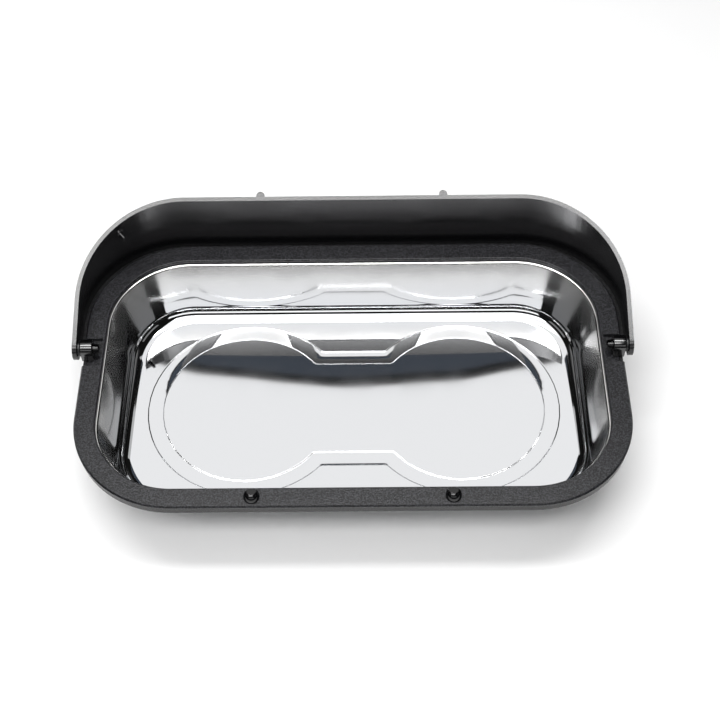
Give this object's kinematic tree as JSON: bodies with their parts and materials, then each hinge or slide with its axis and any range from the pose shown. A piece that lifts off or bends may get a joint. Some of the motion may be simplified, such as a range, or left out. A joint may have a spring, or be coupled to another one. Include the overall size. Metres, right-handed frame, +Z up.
{
  "type": "magnetic parts tray",
  "caption": "Shallow pressed-steel parts tray in a black plastic rim, with a swing-over handle that latches at the front and rubber-covered magnets under its floor.",
  "frame": {"origin": "on the table, under the middle of the tray's box with the handle folded back as in the picture", "axes": "+X from left to right along the tray, +Y from the latch clips at the front to the handle at the back, +Z up"},
  "size_m": [0.2494, 0.1488, 0.0718],
  "materials": {
    "dish_steel": "polished stainless",
    "rim_plastic": "black, finely textured",
    "ring_plastic": "black, satin",
    "handle_plastic": "black, finely textured",
    "pivot_plastic": "black, glossy",
    "pin_plastic": "black, glossy",
    "washer_plastic": "black, satin",
    "clip_plastic": "black, glossy",
    "screw_steel": "zinc plated",
    "stud_steel": "plain",
    "zinc_steel": "zinc plated",
    "cup_steel": "zinc plated",
    "ferrite": "dark grey, ground",
    "cover_rubber": "black, matte"
  },
  "bodies": {
    "tray": {"steel_dish": "dish_steel", "rim_frame": "rim_plastic", "retaining_ring": "ring_plastic", "frame_screws": "screw_steel", "left_pivot_bush": "pivot_plastic", "left_latch_clip": "clip_plastic", "left_weld_stud": "stud_steel", "left_magnet_cup": "cup_steel", "left_ring_magnet": "ferrite", "left_stud_washer": "zinc_steel", "left_stud_nut": "zinc_steel", "left_rubber_cover": "cover_rubber", "right_pivot_bush": "pivot_plastic", "right_latch_clip": "clip_plastic", "right_weld_stud": "stud_steel", "right_magnet_cup": "cup_steel", "right_ring_magnet": "ferrite", "right_stud_washer": "zinc_steel", "right_stud_nut": "zinc_steel", "right_rubber_cover": "cover_rubber"},
    "handle": {"handle": "handle_plastic", "left_pivot_pin": "pin_plastic", "right_pivot_pin": "pin_plastic", "left_pivot_washer": "washer_plastic", "right_pivot_washer": "washer_plastic"}
  },
  "joints": [
    {"name": "handle_swing", "type": "hinge", "parent": "tray", "child": "handle", "pos_m": [0, 0.00573, 0.04408], "axis": [1, 0, 0], "range_deg": [0, 157.5]}
  ]
}
